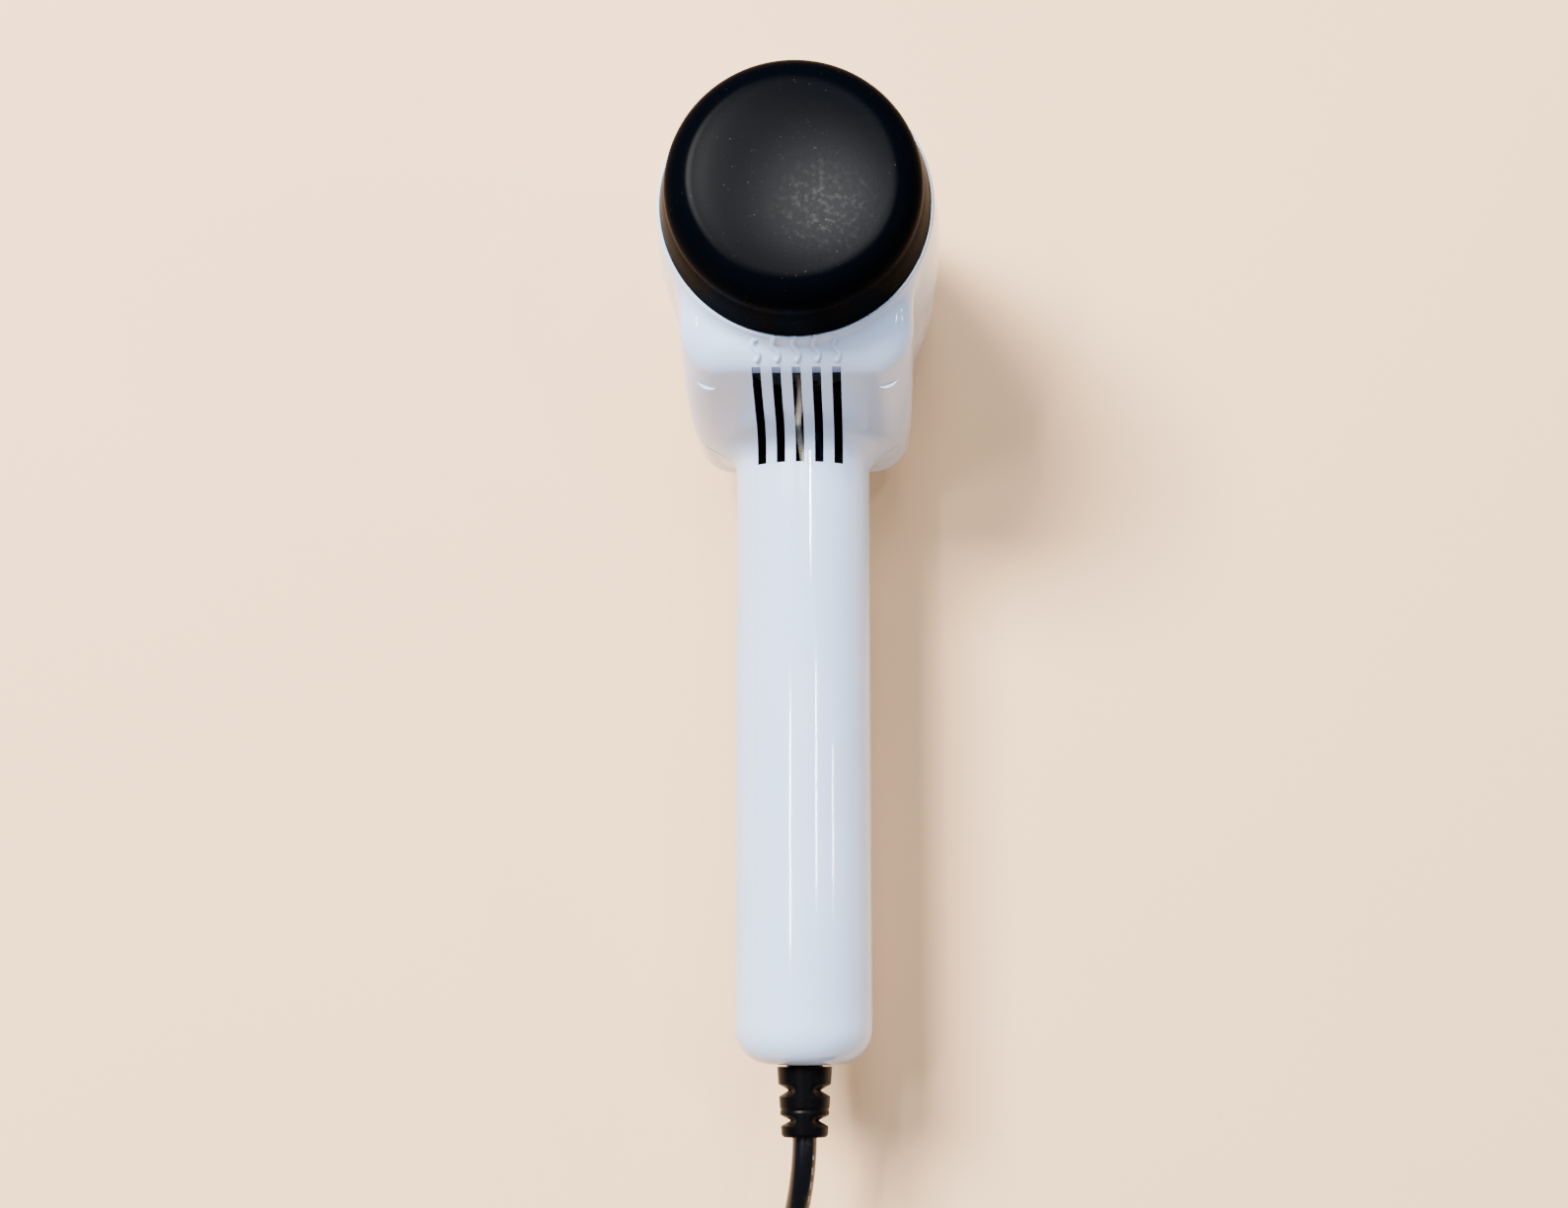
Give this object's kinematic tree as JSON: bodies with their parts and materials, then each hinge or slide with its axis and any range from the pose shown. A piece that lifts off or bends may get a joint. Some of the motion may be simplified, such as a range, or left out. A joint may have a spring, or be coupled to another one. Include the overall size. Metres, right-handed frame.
{
  "type": "hair dryer",
  "caption": "Hand-held hair dryer with a drum-shaped head, closed rear cap, neck air slots, slim round handle and a coiled mains cord with a plug.",
  "frame": {"origin": "centre of the outlet rim, on the surface that the dryer stands on", "axes": "+Z along the barrel axis to the rear cap, -Y along the handle to the cord, +X across"},
  "size_m": [0.0875, 0.4048, 0.1233],
  "materials": {
    "white_shell": "high gloss",
    "black_cap": "satin, scuffed on the face",
    "black_trim": "fine texture",
    "screw_steel": "zinc plated",
    "duct_plastic": "satin",
    "can_steel": "satin",
    "magnet": "matt",
    "dark_plastic": "satin",
    "carbon": "matt",
    "bronze": "satin",
    "copper": "enamelled",
    "mica": "flaky, half matt",
    "nichrome": "oxidised",
    "thermal_metal": "satin",
    "amber_film": "gloss",
    "ferrite": "matt",
    "blue_button": "satin",
    "spring_steel": "bright",
    "cord_rubber": "satin",
    "cream_lead": "glass-fibre sleeve",
    "blue_lead": "satin",
    "brown_lead": "satin",
    "tie_fabric": "hook-and-loop strap",
    "pin_metal": "nickel plated"
  },
  "bodies": {
    "housing": {"rear_shell": "white_shell", "front_shell": "white_shell", "outlet_grille": "black_trim", "shell_screws": "screw_steel", "fan_duct": "duct_plastic", "motor_can": "can_steel", "motor_magnets": "magnet", "brush_plate": "dark_plastic", "carbon_brushes": "carbon", "front_bushing": "bronze", "rear_bushing": "bronze", "motor_screws": "screw_steel", "mica_sleeve": "mica", "mica_cross": "mica", "heater_coils": "nichrome", "thermal_cutout": "thermal_metal", "thermal_fuse": "thermal_metal", "rectifier": "dark_plastic", "noise_capacitor": "amber_film", "motor_chokes": "ferrite", "switch_plate": "black_trim", "speed_switch": "dark_plastic", "heat_switch": "dark_plastic", "cool_switch": "dark_plastic", "cord_clamp": "duct_plastic", "clamp_screws": "screw_steel", "cord_core": "cord_rubber", "strain_relief": "cord_rubber", "heater_lead": "cream_lead", "motor_lead": "blue_lead", "neutral_lead": "blue_lead", "live_lead": "brown_lead", "cord_tube": "cord_rubber", "cord_coil": "cord_rubber", "cord_tail": "cord_rubber", "cord_tie": "tie_fabric", "plug_body": "cord_rubber", "plug_relief": "cord_rubber", "plug_pins": "pin_metal"},
    "rotor": {"motor_shaft": "can_steel", "armature": "can_steel", "windings": "copper", "commutator": "copper", "fan": "dark_plastic", "fan_bush": "bronze"},
    "cap": {"rear_cap": "black_cap"},
    "speed_control": {"speed_slider": "black_trim"},
    "heat_control": {"heat_slider": "black_trim"},
    "cool_control": {"cool_button": "blue_button", "cool_spring": "spring_steel"}
  },
  "joints": [
    {"name": "rotor_spin", "type": "hinge", "parent": "housing", "child": "rotor", "pos_m": [0, 0, 0.06], "axis": [0, 0, -1], "continuous": true},
    {"name": "cap_twist", "type": "hinge", "parent": "housing", "child": "cap", "pos_m": [0, 0, 0.1], "axis": [0, 0, 1], "range_deg": [0, 45]},
    {"name": "speed_slide", "type": "slide", "parent": "housing", "child": "speed_control", "axis": [0, 1, 0], "range_m": [0, 0.008]},
    {"name": "heat_slide", "type": "slide", "parent": "housing", "child": "heat_control", "axis": [0, 1, 0], "range_m": [0, 0.004]},
    {"name": "cool_press", "type": "slide", "parent": "housing", "child": "cool_control", "axis": [0, 0, 1], "range_m": [0, 0.002], "stiffness_N_per_m": 400, "springref_m": -0.001, "deforming": ["cool_spring"]}
  ]
}
